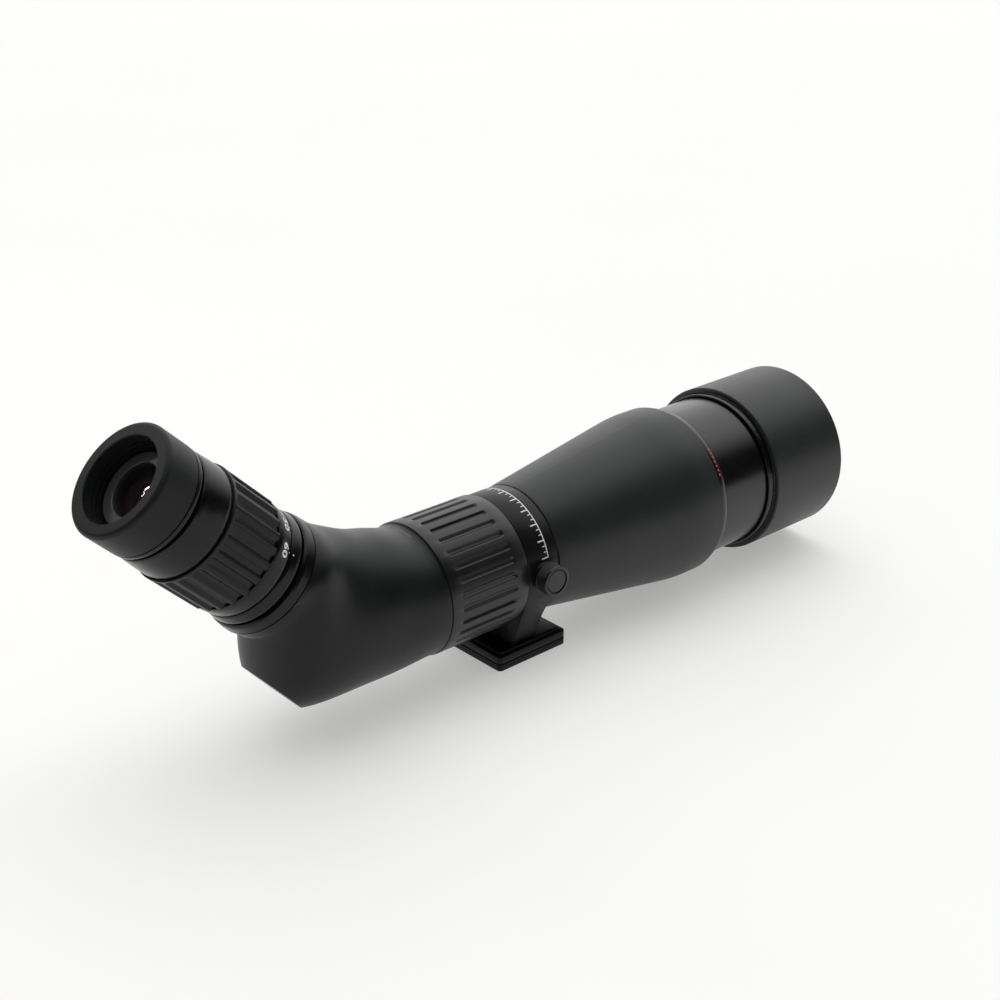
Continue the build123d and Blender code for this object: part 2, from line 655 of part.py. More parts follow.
# A sprung strap across the top of the exit face holds the prism down in its cradle.
STRAP_THICKNESS = 0.5
STRAP_OUTSIDE = CHEEK_OUTSIDE + 0.1 + STRAP_THICKNESS
with BuildPart() as prism_strap:
    with BuildSketch(
        Plane(
            origin=MAIN.from_local_coords((PRISM_FACE_Y - 5.5, PRISM_REACH - 5.5, 0)),
            x_dir=(1, 0, 0),
            z_dir=(0, -1, -1),
        )
    ):
        with BuildLine():
            Polyline(
                (-STRAP_OUTSIDE, 0.1 + STRAP_THICKNESS),
                (STRAP_OUTSIDE, 0.1 + STRAP_THICKNESS),
                (STRAP_OUTSIDE, -5),
                (CHEEK_OUTSIDE + 0.1, -5),
                (CHEEK_OUTSIDE + 0.1, 0.1),
                (-CHEEK_OUTSIDE - 0.1, 0.1),
                (-CHEEK_OUTSIDE - 0.1, -5),
                (-STRAP_OUTSIDE, -5),
                close=True,
            )
        make_face()
    extrude(amount=2.5, both=True)

# ------------------------------------------------------------------ eyepiece tube
EYE_TUBE_BOTTOM = SEAT_TOP - SEAT_DEPTH
TUBE_FIT = EYE_TUBE_RADIUS + THREAD_FIT
with BuildPart() as eyepiece_tube:
    turn(
        EYE,
        [
            (EYE_TUBE_BOTTOM, EYE_TUBE_BORE),
            (EYE_TUBE_BOTTOM, EYE_TUBE_RADIUS),
            (EYE_STEP, EYE_TUBE_RADIUS),
            (EYE_STEP, EYE_STEM_RADIUS),
            (EYE_STEM_TOP, EYE_STEM_RADIUS),
            (EYE_STEM_TOP, EYE_STEM_BORE),
            (EYE_STEP - 1.5, EYE_STEM_BORE),
            (EYE_STEP - 1.5, EYE_TUBE_BORE),
        ],
    )
    slots(
        EYE,
        ZOOM_FRONT_PIN - ZOOM_PIN_RADIUS - 0.4,
        ZOOM_FRONT_PIN + ZOOM_FRONT_TRAVEL + ZOOM_PIN_RADIUS + 0.4,
        2 * ZOOM_PIN_RADIUS + 0.4,
        EYE_TUBE_BORE - 1,
        EYE_TUBE_RADIUS + 1,
        1,
        90,
    )
    slots(
        EYE,
        ZOOM_REAR_PIN - ZOOM_REAR_TRAVEL - ZOOM_PIN_RADIUS - 0.4,
        ZOOM_REAR_PIN + ZOOM_PIN_RADIUS + 0.4,
        2 * ZOOM_PIN_RADIUS + 0.4,
        EYE_TUBE_BORE - 1,
        EYE_TUBE_RADIUS + 1,
        1,
        270,
    )
    slots(
        EYE,
        EYECUP_PIN - 1.4,
        EYECUP_PIN + EYECUP_TRAVEL + 1.4,
        2.2,
        EYE_STEM_BORE + 1.2,
        EYE_STEM_RADIUS + 1,
        2,
    )

FLANGE_TOP = 60.3
INDEX_REAR = 61.7  # the index ring stands clear of the flange on a narrow neck
INDEX_NECK_RADIUS = 27.2
with BuildPart() as eyepiece_flange:
    turn(
        EYE,
        [
            (SEAT_TOP + 0.1, TUBE_FIT),
            (SEAT_TOP + 0.1, 30.4),
            (SEAT_TOP + 0.8, 30.9),
            (FLANGE_TOP - 1.8, 30.4),
            (FLANGE_TOP - 0.6, 30.0),
            (FLANGE_TOP, 29.2),
            (FLANGE_TOP, TUBE_FIT),
        ],
    )

with BuildPart() as index_ring:
    turn(
        EYE,
        [
            (FLANGE_TOP + 0.1, TUBE_FIT),
            (FLANGE_TOP + 0.1, INDEX_NECK_RADIUS),
            (INDEX_REAR, INDEX_NECK_RADIUS),
            (INDEX_REAR, 28.8),
            (INDEX_REAR + 0.5, 29.3),
            (ZOOM_REAR - 0.5, 28.5),
            (ZOOM_REAR - 0.3, 28.3),
            (ZOOM_REAR - 0.3, TUBE_FIT),
        ],
    )

# ------------------------------------------------------------------ zoom
SCALE_TOP = 77.8
ZOOM_GROOVE_TOP = 107.6
ZOOM_PIN_REACH = 25.3
ZOOM_CORE_BORE = EYE_TUBE_RADIUS + RUNNING_FIT
with BuildPart() as zoom_core:
    ring(EYE, ZOOM_REAR, ZOOM_TOP, ZOOM_CORE_BORE, ZOOM_CORE_RADIUS)
    ring(EYE, 72.0, 104.4, ZOOM_CORE_BORE - 1, ZOOM_PIN_REACH + 0.3, Mode.SUBTRACT)

with BuildPart() as scale_ring:
    turn(
        EYE,
        [
            (ZOOM_REAR, ZOOM_CORE_RADIUS + THREAD_FIT),
            (ZOOM_REAR, 28.2),
            (ZOOM_REAR + 0.3, 28.4),
            (SCALE_TOP - 3.0, 29.0),
            (SCALE_TOP, 29.0),
            (SCALE_TOP, ZOOM_CORE_RADIUS + THREAD_FIT),
        ],
    )

with BuildPart() as zoom_ring:
    turn(
        EYE,
        [
            (SCALE_TOP + 0.1, ZOOM_CORE_RADIUS + THREAD_FIT),
            (SCALE_TOP + 0.1, ZOOM_RADIUS - 0.3),
            (SCALE_TOP + 0.5, ZOOM_RADIUS),
            (ZOOM_GROOVE_TOP, ZOOM_RADIUS),
            (ZOOM_TOP, ZOOM_RADIUS - 0.4),
            (ZOOM_TOP, ZOOM_CORE_RADIUS + THREAD_FIT),
        ],
    )
    slots(
        EYE,
        SCALE_TOP - 1.0,
        ZOOM_GROOVE_TOP,
        ZOOM_GROOVE_WIDTH,
        ZOOM_RADIUS - ZOOM_GROOVE_DEPTH,
        ZOOM_RADIUS + 1,
        ZOOM_RIBS,
        ZOOM_GROOVE_FIRST,
    )

CELL_RADIUS = EYE_TUBE_BORE - RUNNING_FIT
with BuildPart() as zoom_front_cell:
    ring(EYE, ZOOM_FRONT_PIN - 5, ZOOM_FRONT_PIN + 4, 18.0, CELL_RADIUS)
    ring(EYE, ZOOM_FRONT_PIN - 5, ZOOM_FRONT_PIN - 4, 16.5, 18.5)
    pins(EYE, ZOOM_FRONT_PIN, ZOOM_PIN_RADIUS + 0.02, 17, 22, 1, 90, Mode.SUBTRACT)

with BuildPart() as zoom_front_pin:
    pins(EYE, ZOOM_FRONT_PIN, ZOOM_PIN_RADIUS, 18.2, ZOOM_PIN_REACH, 1, 90)

with BuildPart() as zoom_front_lens:
    lens(EYE, ZOOM_FRONT_PIN - 3.9, 4.5, 17.9, -1.2, -1.0)

with BuildPart() as zoom_rear_cell:
    ring(EYE, ZOOM_REAR_PIN - 5, ZOOM_REAR_PIN + 4, 18.0, CELL_RADIUS)
    ring(EYE, ZOOM_REAR_PIN - 5, ZOOM_REAR_PIN - 4, 16.5, 18.5)
    pins(EYE, ZOOM_REAR_PIN, ZOOM_PIN_RADIUS + 0.02, 17, 22, 1, 270, Mode.SUBTRACT)

with BuildPart() as zoom_rear_pin:
    pins(EYE, ZOOM_REAR_PIN, ZOOM_PIN_RADIUS, 18.2, ZOOM_PIN_REACH, 1, 270)

with BuildPart() as zoom_rear_lens:
    lens(EYE, ZOOM_REAR_PIN - 3.7, 2.6, 17.9, 1.0, 1.8)

with BuildPart() as field_stop:
    ring(EYE, 106.0, 107.8, 9.5, EYE_TUBE_BORE - THREAD_FIT)

# ------------------------------------------------------------------ eye lens and sleeve
STEM_FIT = EYE_STEM_BORE - THREAD_FIT
with BuildPart() as eye_lens_inner:
    lens(EYE, 111.5, 3.0, STEM_FIT, 0.5, 3.2)

with BuildPart() as eye_lens_spacer:
    ring(EYE, 115.3, 127.6, 15.6, STEM_FIT)

with BuildPart() as eye_lens_outer:
    lens(EYE, 128.2, 4.0, STEM_FIT, 2.4, 3.0)

with BuildPart() as eye_lens_retainer:
    turn(
        EYE,
        [
            (132.4, 14.6),
            (132.4, STEM_FIT),
            (EYE_STEM_TOP + 0.1, STEM_FIT),
            (EYE_STEM_TOP + 0.1, 18.4),
            (139.7, 18.4),
            (140.0, 18.1),
            (140.0, 13.5),
            (139.6, 13.1),
            (137.8, 13.1),
        ],
    )

with BuildPart() as eyepiece_sleeve:
    turn(
        EYE,
        [
            (EYE_STEP, EYE_STEM_RADIUS + THREAD_FIT),
            (EYE_STEP, 28.7),
            (118.0, 28.5),
            (SLEEVE_TOP - 0.5, 27.9),
            (SLEEVE_TOP, 27.4),
            (SLEEVE_TOP, SLEEVE_BORE),
            (EYE_STEP + 2.5, SLEEVE_BORE),
            (EYE_STEP + 2.5, EYE_STEM_RADIUS + THREAD_FIT),
        ],
    )

# ------------------------------------------------------------------ twist-up eyecup
CARRIER_TOP = 134.8
CARRIER_BORE = EYE_STEM_RADIUS + RUNNING_FIT
with BuildPart() as eyecup_carrier:
    ring(EYE, 114.0, CARRIER_TOP, CARRIER_BORE, CARRIER_RADIUS)
    pins(EYE, EYECUP_PIN, 0.92, 19, 23, 2, mode=Mode.SUBTRACT)

with BuildPart() as eyecup_guide_pins:
    pins(EYE, EYECUP_PIN, 0.9, 18.9, CARRIER_RADIUS - 0.05, 2)

BAND_BOTTOM = 128.4
BAND_TOP = 131.0
EYECUP_CORE_TOP = 136.0
with BuildPart() as eyecup_core:
    ring(EYE, 115.0, EYECUP_CORE_TOP, CARRIER_RADIUS + RUNNING_FIT, EYECUP_CORE_RADIUS)

with BuildPart() as eyecup_band:
    turn(
        EYE,
        [
            (BAND_BOTTOM, EYECUP_CORE_RADIUS + THREAD_FIT),
            (BAND_BOTTOM, 27.6),
            (BAND_BOTTOM + 0.5, 28.1),
            (BAND_TOP - 0.2, 28.1),
            (BAND_TOP, 27.9),
            (BAND_TOP, EYECUP_CORE_RADIUS + THREAD_FIT),
        ],
    )

EYECUP_BOTTOM = BAND_TOP + 0.1
LIP_ROUND = 2.2
RIDGE_STATIONS = (138.6, 141.2, 143.8)
with BuildPart() as eyecup:
    with BuildSketch(EYE):
        with BuildLine():
            Polyline(
                (EYECUP_CORE_TOP + 0.1, EYECUP_CORE_RADIUS + THREAD_FIT),
                (EYECUP_BOTTOM, EYECUP_CORE_RADIUS + THREAD_FIT),
                (EYECUP_BOTTOM, EYECUP_RADIUS - 0.5),
                (EYECUP_BOTTOM + 0.5, EYECUP_RADIUS),
                (EYECUP_RIM - LIP_ROUND, EYECUP_RADIUS),
            )
            TangentArc(
                (EYECUP_RIM - LIP_ROUND, EYECUP_RADIUS),
                (EYECUP_RIM, EYECUP_RADIUS - LIP_ROUND),
                tangent=(1, 0),
            )
            Polyline(
                (EYECUP_RIM, EYECUP_RADIUS - LIP_ROUND),
                (EYECUP_RIM, EYECUP_OPENING + 0.4),
                (EYECUP_RIM - 0.6, EYECUP_OPENING),
                (EYECUP_RIM - 4.0, EYECUP_OPENING),
                (EYECUP_CORE_TOP + 0.1, EYECUP_OPENING - 0.8),
                (EYECUP_CORE_TOP + 0.1, EYECUP_CORE_RADIUS + THREAD_FIT),
            )
        make_face()
    revolve(axis=Axis(EYE.origin, EYE.x_dir))
    for station in RIDGE_STATIONS:
        ring(EYE, station - 0.6, station + 0.6, 19, EYECUP_OPENING + 0.5, Mode.SUBTRACT)

pieces = {
    "foot_plate": foot_plate,
    "foot_screws": foot_screws,
    "thread_insert": thread_insert,
    "collar": collar,
    "collar_liner": collar_liner,
    "lock_shoe": lock_shoe,
    "lock_screw": lock_screw,
    "lock_knob": lock_knob,
    "body_tube": body_tube,
    "focus_core": focus_core,
    "focus_seals": focus_seals,
    "focus_ring": focus_ring,
    "focus_carriage": focus_carriage,
    "focus_pins": focus_pins,
    "focus_lens_rear": focus_lens_rear,
    "focus_lens_front": focus_lens_front,
    "focus_lens_retainer": focus_lens_retainer,
    "front_housing": front_housing,
    "objective_barrel": objective_barrel,
    "trim_ring": trim_ring,
    "barrel_stop_ring": barrel_stop_ring,
    "objective_cell": objective_cell,
    "objective_rear_lens": objective_rear_lens,
    "objective_spacer": objective_spacer,
    "objective_front_lens": objective_front_lens,
    "objective_retainer": objective_retainer,
    "sunshade": sunshade,
    "sunshade_guide": sunshade_guide,
    "sunshade_felt": sunshade_felt,
    "prism_housing": prism_housing,
    "roof_prism": roof_prism,
    "prism_cradle": prism_cradle,
    "cradle_screws": cradle_screws,
    "prism_strap": prism_strap,
    "eyepiece_tube": eyepiece_tube,
    "eyepiece_flange": eyepiece_flange,
    "index_ring": index_ring,
    "zoom_core": zoom_core,
    "scale_ring": scale_ring,
    "zoom_ring": zoom_ring,
    "zoom_front_cell": zoom_front_cell,
    "zoom_front_pin": zoom_front_pin,
    "zoom_front_lens": zoom_front_lens,
    "zoom_rear_cell": zoom_rear_cell,
    "zoom_rear_pin": zoom_rear_pin,
    "zoom_rear_lens": zoom_rear_lens,
    "field_stop": field_stop,
    "eye_lens_inner": eye_lens_inner,
    "eye_lens_spacer": eye_lens_spacer,
    "eye_lens_outer": eye_lens_outer,
    "eye_lens_retainer": eye_lens_retainer,
    "eyepiece_sleeve": eyepiece_sleeve,
    "eyecup_carrier": eyecup_carrier,
    "eyecup_guide_pins": eyecup_guide_pins,
    "eyecup_core": eyecup_core,
    "eyecup_band": eyecup_band,
    "eyecup": eyecup,
}
for name, piece in pieces.items():
    piece.part.label = name
    export_step(piece.part, f"parts/{name}.step")
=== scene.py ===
import json
import math
import bmesh
import bpy
from mathutils import Matrix, Vector
from mathutils.bvhtree import BVHTree


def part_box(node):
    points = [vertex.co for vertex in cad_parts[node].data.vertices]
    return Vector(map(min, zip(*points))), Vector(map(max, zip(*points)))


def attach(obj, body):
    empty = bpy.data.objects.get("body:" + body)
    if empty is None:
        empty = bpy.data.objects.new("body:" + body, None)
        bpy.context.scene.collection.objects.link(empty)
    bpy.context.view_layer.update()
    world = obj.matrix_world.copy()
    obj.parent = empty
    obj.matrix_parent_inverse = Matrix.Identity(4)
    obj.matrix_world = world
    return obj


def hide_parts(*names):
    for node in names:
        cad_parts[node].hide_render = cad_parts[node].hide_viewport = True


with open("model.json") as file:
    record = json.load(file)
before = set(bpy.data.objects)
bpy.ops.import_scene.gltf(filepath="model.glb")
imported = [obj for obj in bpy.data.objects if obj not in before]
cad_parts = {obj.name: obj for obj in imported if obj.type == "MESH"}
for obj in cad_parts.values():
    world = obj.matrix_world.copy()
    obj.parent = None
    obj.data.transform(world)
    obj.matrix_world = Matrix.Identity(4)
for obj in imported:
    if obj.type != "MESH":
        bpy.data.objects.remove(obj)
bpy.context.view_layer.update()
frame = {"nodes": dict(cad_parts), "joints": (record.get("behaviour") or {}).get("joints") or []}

MM = 0.001
NODES = frame["nodes"]
JOINTS = {joint["name"]: joint for joint in frame["joints"]}


# ------------------------------------------------------------------ axes
class Spindle:
    """A turning axis: station along it, radius out from it, angle from its top towards +X."""

    def __init__(self, origin, direction):
        self.direction = Vector(direction).normalized()
        self.origin = Vector(origin)
        self.side = Vector((1, 0, 0))
        self.top = self.direction.cross(self.side)
        if self.top.z < 0:
            self.top = -self.top

    def point(self, station, radius, angle):
        outward = self.top * math.cos(angle) + self.side * math.sin(angle)
        return self.origin + self.direction * station + outward * radius

    def span(self, node):
        """(lowest station, highest station, largest radius) of a CAD node."""
        offsets = [vertex.co - self.origin for vertex in NODES[node].data.vertices]
        stations = [offset.dot(self.direction) for offset in offsets]
        radii = [(o - self.direction * s).length for o, s in zip(offsets, stations)]
        return min(stations), max(stations), max(radii)


class Skin:
    """The outer surface of a CAD node, found from outside along a spindle's spokes."""

    def __init__(self, spindle, node):
        mesh = NODES[node].data
        corners = [vertex.co for vertex in mesh.vertices]
        self.tree = BVHTree.FromPolygons(corners, [polygon.vertices for polygon in mesh.polygons])
        self.spindle = spindle

    def point(self, station, angle, rise):
        far = self.spindle.point(station, 1.0, angle)
        near = self.spindle.point(station, 0.0, angle)
        hit = self.tree.ray_cast(far, near - far)[0]
        return hit + (far - near).normalized() * rise


collar_joint = JOINTS["collar_turn"]
AXIS_HEIGHT = collar_joint["pos_m"][2]
MAIN = Spindle((0, 0, AXIS_HEIGHT), collar_joint["axis"])
eye_joint = JOINTS["eyecup_twist"]
eye_direction = Vector(eye_joint["axis"]).normalized()
eye_point = Vector(eye_joint["pos_m"])
to_main_axis = (AXIS_HEIGHT - eye_point.z) / eye_direction.z
EYE = Spindle(eye_point + eye_direction * to_main_axis, eye_direction)


# ------------------------------------------------------------------ materials
NOISE_LOW, NOISE_HIGH = 0.3, 0.7  # nearly all of a noise texture's values lie between these


def shader(name, base, roughness, metallic=0.0, specular=0.5):
    material = bpy.data.materials.new(name)
    material.use_nodes = True
    nodes = material.node_tree.nodes
    surface = nodes["Principled BSDF"]
    surface.inputs["Base Color"].default_value = (*base, 1)
    surface.inputs["Roughness"].default_value = roughness
    surface.inputs["Metallic"].default_value = metallic
    surface.inputs["Specular IOR Level"].default_value = specular
    return material, nodes, material.node_tree.links, surface


def noise(nodes, links, scale, detail=4.0, roughness=0.5):
    coordinates = nodes.new("ShaderNodeTexCoord")
    texture = nodes.new("ShaderNodeTexNoise")
    texture.inputs["Scale"].default_value = scale
    texture.inputs["Detail"].default_value = detail
    texture.inputs["Roughness"].default_value = roughness
    links.new(coordinates.outputs["Object"], texture.inputs["Vector"])
    return texture


def ramp(nodes, links, source, low, high, start=NOISE_LOW, end=NOISE_HIGH):
    """Blend from one colour to another as a value goes from start to end."""
    blend = nodes.new("ShaderNodeValToRGB")
    blend.color_ramp.elements[0].position = start
    blend.color_ramp.elements[1].position = end
    blend.color_ramp.elements[0].color = (*low, 1)
    blend.color_ramp.elements[1].color = (*high, 1)
    links.new(source, blend.inputs["Fac"])
    return blend


def spread(nodes, links, source, low, high):
    """Map a noise value to a range."""
    mapped = nodes.new("ShaderNodeMapRange")
    mapped.inputs["From Min"].default_value = NOISE_LOW
    mapped.inputs["From Max"].default_value = NOISE_HIGH
    mapped.inputs["To Min"].default_value = low
    mapped.inputs["To Max"].default_value = high
    links.new(source, mapped.inputs["Value"])
    return mapped


def relief(nodes, links, surface, layers):
    """Stack bump layers of (height output, distance in metres)."""
    normal = None
    for height, distance in layers:
        bump = nodes.new("ShaderNodeBump")
        bump.inputs["Distance"].default_value = distance
        bump.inputs["Strength"].default_value = 1.0
        links.new(height, bump.inputs["Height"])
        if normal is not None:
            links.new(normal, bump.inputs["Normal"])
        normal = bump.outputs["Normal"]
    links.new(normal, surface.inputs["Normal"])


def coated(name, base, paler, roughness, grain, depth, specular=0.5):
    """A fine-grained coating: tiny grain in relief, and slow drifts of colour and gloss.

    grain is the grain's scale, and depth its relief in metres."""
    material, nodes, links, surface = shader(name, base, roughness[0], specular=specular)
    fine = noise(nodes, links, grain, 6.0, 0.65)
    slow = noise(nodes, links, 60.0, 5.0, 0.6)
    tone = ramp(nodes, links, slow.outputs["Fac"], base, paler)
    links.new(tone.outputs["Color"], surface.inputs["Base Color"])
    gloss = spread(nodes, links, slow.outputs["Fac"], roughness[0], roughness[1])
    links.new(gloss.outputs["Result"], surface.inputs["Roughness"])
    relief(nodes, links, surface, [(fine.outputs["Fac"], depth)])
    return material


def turned_metal(name, base, roughness):
    """Lathe-turned metal: fine rings, with a little variation."""
    material, nodes, links, surface = shader(name, base, roughness, metallic=1.0)
    coordinates = nodes.new("ShaderNodeTexCoord")
    rings = nodes.new("ShaderNodeTexWave")
    rings.wave_type = "BANDS"
    rings.bands_direction = "Y"
    rings.inputs["Scale"].default_value = 900.0
    rings.inputs["Distortion"].default_value = 1.5
    rings.inputs["Detail"].default_value = 3.0
    links.new(coordinates.outputs["Object"], rings.inputs["Vector"])
    slow = noise(nodes, links, 90.0)
    bright = tuple(min(1.0, channel * 1.5) for channel in base)
    tone = ramp(nodes, links, slow.outputs["Fac"], base, bright)
    links.new(tone.outputs["Color"], surface.inputs["Base Color"])
    gloss = spread(nodes, links, slow.outputs["Fac"], roughness * 0.85, roughness * 1.2)
    links.new(gloss.outputs["Result"], surface.inputs["Roughness"])
    relief(nodes, links, surface, [(rings.outputs["Fac"], 0.000004)])
    return material


def coated_glass(name, tint, reflection):
    """Lens glass with an anti-reflection coating that tints what it mirrors, and a painted sheen of
    that tint in its colour at grazing angles.
    """
    material, nodes, links, surface = shader(name, tint, 0.03)
    surface.inputs["IOR"].default_value = 1.6
    surface.inputs["Coat Weight"].default_value = 0.8
    surface.inputs["Coat Roughness"].default_value = 0.02
    surface.inputs["Specular Tint"].default_value = (*reflection, 1)
    surface.inputs["Coat Tint"].default_value = (*reflection, 1)
    # Painted sheen: towards grazing angles the base colour turns from the glass tint to a dim copy
    # of the coating's reflection tint.
    facing = nodes.new("ShaderNodeLayerWeight")
    facing.inputs["Blend"].default_value = 0.4
    edge = tuple(channel * 0.05 for channel in reflection)
    painted_sheen = ramp(nodes, links, facing.outputs["Facing"], tint, edge, 0.2, 1.0)
    links.new(painted_sheen.outputs["Color"], surface.inputs["Base Color"])
    return material


def felt_cloth(name):
    material, nodes, links, surface = shader(name, (0.012, 0.012, 0.012), 0.95)
    surface.inputs["Sheen Weight"].default_value = 0.4
    fibres = noise(nodes, links, 1400.0, 8.0, 0.8)
    tone = ramp(nodes, links, fibres.outputs["Fac"], (0.006, 0.006, 0.006), (0.03, 0.03, 0.03))
    links.new(tone.outputs["Color"], surface.inputs["Base Color"])
    relief(nodes, links, surface, [(fibres.outputs["Fac"], 0.0002)])
    return material


def ink(name, base):
    """Pad-printed marking ink, very slightly uneven."""
    material, nodes, links, surface = shader(name, base, 0.5)
    grain = noise(nodes, links, 900.0, 5.0)
    worn = tuple(channel * 0.86 for channel in base)
    tone = ramp(nodes, links, grain.outputs["Fac"], worn, base)
    links.new(tone.outputs["Color"], surface.inputs["Base Color"])
    relief(nodes, links, surface, [(grain.outputs["Fac"], 0.00001)])
    return material


SOFT_TOUCH = coated(
    "soft_touch_black", (0.014, 0.0155, 0.0155), (0.018, 0.0195, 0.0195), (0.38, 0.43), 5200,
    0.00001, specular=0.36,
)
# Painted shade: a darker, less glossy copy of the soft-touch coating, for the prism housing.
SHADED_ELBOW_COAT = coated(
    "elbow_soft_touch_painted_shade", (0.005, 0.006, 0.006), (0.007, 0.008, 0.008), (0.34, 0.39), 5200,
    0.00001, specular=0.26,
)
RIB_RUBBER = coated(
    "ribbed_rubber", (0.0045, 0.005, 0.005), (0.007, 0.0075, 0.0075), (0.34, 0.40), 3800, 0.00001
)
# Painted shade: a darker, less glossy copy of the ribbed rubber, for the zoom ring.
SHADED_ZOOM_RUBBER = coated(
    "zoom_rubber_painted_shade", (0.003, 0.0033, 0.0033), (0.005, 0.0055, 0.0055), (0.30, 0.36), 3800, 0.00001,
    specular=0.26,
)
CUP_RUBBER = coated(
    "eyecup_rubber", (0.009, 0.0098, 0.0098), (0.012, 0.0128, 0.0128), (0.40, 0.48), 3000, 0.000008,
    specular=0.19,
)
SATIN = coated(
    "satin_black", (0.002, 0.002, 0.0022), (0.003, 0.003, 0.0033), (0.20, 0.25), 4200, 0.000002
)
ANODISED = coated(
    "anodised_black", (0.002, 0.002, 0.0022), (0.003, 0.003, 0.0033), (0.20, 0.25), 4200, 0.000002,
    specular=0.28,
)
CAST_BLACK = coated(
    "cast_black", (0.003, 0.003, 0.003), (0.0045, 0.0045, 0.0045), (0.34, 0.4), 4200, 0.000008,
    specular=0.22,
)
INNER_BLACK = coated(
    "flat_black", (0.003, 0.003, 0.003), (0.005, 0.005, 0.005), (0.62, 0.78), 2600, 0.00002
)
PLASTIC = coated(
    "bearing_plastic", (0.03, 0.03, 0.03), (0.04, 0.04, 0.04), (0.42, 0.5), 3000, 0.00001
)
STEEL = turned_metal("turned_steel", (0.52, 0.52, 0.53), 0.28)
# The second colour tints each glass's reflections and, dimmed, its painted sheen at grazing angles.
GLASS = coated_glass("coated_glass", (0.02, 0.022, 0.03), (0.25, 0.5, 0.38))
EYE_GLASS = coated_glass("eye_lens_glass", (0.008, 0.008, 0.010), (0.9, 0.75, 0.8))
FELT = felt_cloth("black_felt")
WHITE_INK = ink("white_ink", (0.82, 0.82, 0.8))
ORANGE_INK = ink("orange_ink", (0.6, 0.07, 0.02))
GREY_INK = ink("grey_ink", (0.05, 0.052, 0.052))

FINISH = {
    SOFT_TOUCH: ["front_housing", "sunshade"],
    SHADED_ELBOW_COAT: ["prism_housing"],
    CAST_BLACK: ["collar", "foot_plate"],
    SATIN: [
        "objective_barrel", "trim_ring", "sunshade_guide", "barrel_stop_ring", "lock_knob",
    ],
    ANODISED: [
        "eyepiece_flange", "index_ring", "scale_ring", "eyepiece_sleeve", "eyecup_band",
    ],
    RIB_RUBBER: ["focus_ring", "zoom_ring", "focus_seals"],
    CUP_RUBBER: ["eyecup"],
    INNER_BLACK: [
        "body_tube", "focus_core", "focus_carriage", "focus_lens_retainer", "objective_cell",
        "objective_spacer", "objective_retainer", "prism_cradle", "eyepiece_tube", "zoom_core",
        "zoom_front_cell", "zoom_rear_cell", "field_stop", "eye_lens_spacer", "eyecup_core",
    ],
    PLASTIC: ["collar_liner", "eyecup_carrier", "lock_shoe", "eye_lens_retainer"],
    FELT: ["sunshade_felt"],
    STEEL: [
        "thread_insert", "foot_screws", "lock_screw", "focus_pins", "cradle_screws",
        "prism_strap", "zoom_front_pin", "zoom_rear_pin", "eyecup_guide_pins",
    ],
    GLASS: [
        "objective_front_lens", "objective_rear_lens", "focus_lens_front", "focus_lens_rear",
        "roof_prism", "zoom_front_lens", "zoom_rear_lens",
    ],
    EYE_GLASS: ["eye_lens_inner", "eye_lens_outer"],
}


CAD_CREASE = math.radians(28)
PIECE_CREASE = math.radians(35)


def dress_cad():
    """Give every CAD node its finish, and smooth shading with crisp edges."""
    for material, names in FINISH.items():
        for name in names:
            mesh = NODES[name].data
            mesh.materials.clear()
            mesh.materials.append(material)
            mesh.shade_smooth()
            mesh.set_sharp_from_angle(angle=CAD_CREASE)


WELD_REACH = 0.002 * MM
EDGE_ANGLE = math.radians(40)
EDGE_BREAK = 0.22 * MM
BROKEN_EDGES = [
    "collar", "foot_plate", "sunshade_guide", "barrel_stop_ring", "index_ring",
    "eyecup_band", "scale_ring", "eyepiece_sleeve", "trim_ring",
]


def soften_edges():
    """Weld the machined parts' faces and break their sharp edges, so that they catch light."""
    for name in BROKEN_EDGES:
        weld = NODES[name].modifiers.new("weld", "WELD")
        weld.merge_threshold = WELD_REACH
        bevel = NODES[name].modifiers.new("broken_edges", "BEVEL")
        bevel.limit_method = "ANGLE"
        bevel.angle_limit = EDGE_ANGLE
        bevel.width = EDGE_BREAK
        bevel.segments = 2
        bevel.use_clamp_overlap = True
        bevel.harden_normals = True


dress_cad()
soften_edges()


# ------------------------------------------------------------------ mesh tools
def piece(name, vertices, faces, material, body, replaces=()):
    """Make a mesh piece, and say what it rides on and stands for."""
    mesh = bpy.data.meshes.new(name)
    mesh.from_pydata([tuple(vertex) for vertex in vertices], [], faces)
    work = bmesh.new()
    work.from_mesh(mesh)
    bmesh.ops.recalc_face_normals(work, faces=work.faces)
    work.to_mesh(mesh)
    work.free()
    mesh.materials.append(material)
    mesh.shade_smooth()
    mesh.set_sharp_from_angle(angle=PIECE_CREASE)
    made = bpy.data.objects.new(name, mesh)
    bpy.context.scene.collection.objects.link(made)
    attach(made, body)
    if replaces:
        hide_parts(*replaces)
    return made


def lathe(spindle, outline, segments, shape=None):
    """Vertices and faces of a closed outline of (station, radius) turned round an axis.

    shape(station, radius, angle) gives the radius where the surface isn't round."""
    vertices = []
    for step in range(segments):
        angle = 2 * math.pi * step / segments
        for station, radius in outline:
            if shape:
                radius = shape(station, radius, angle)
            vertices.append(spindle.point(station, radius, angle))
    count = len(outline)
    faces = []
    for step in range(segments):
        ahead = (step + 1) % segments
        for index in range(count):
            after = (index + 1) % count
            faces.append(
                (
                    step * count + index,
                    step * count + after,
                    ahead * count + after,
                    ahead * count + index,
                )
            )
    return vertices, faces


def stretch(start, end, steps):
    """Evenly spaced values from start to end, both included."""
    return [start + (end - start) * index / steps for index in range(steps + 1)]


def ease(value):
    """Smooth step from 0 to 1."""
    value = max(0.0, min(1.0, value))
    return value * value * (3 - 2 * value)


def trough(offset, half_width, flank):
    """1 in the floor of a groove, 0 outside it, with rounded flanks."""
    return ease((half_width + flank / 2 - abs(offset)) / flank)


MARK_RISE = 0.04 * MM
MARK_FACET = 0.4 * MM


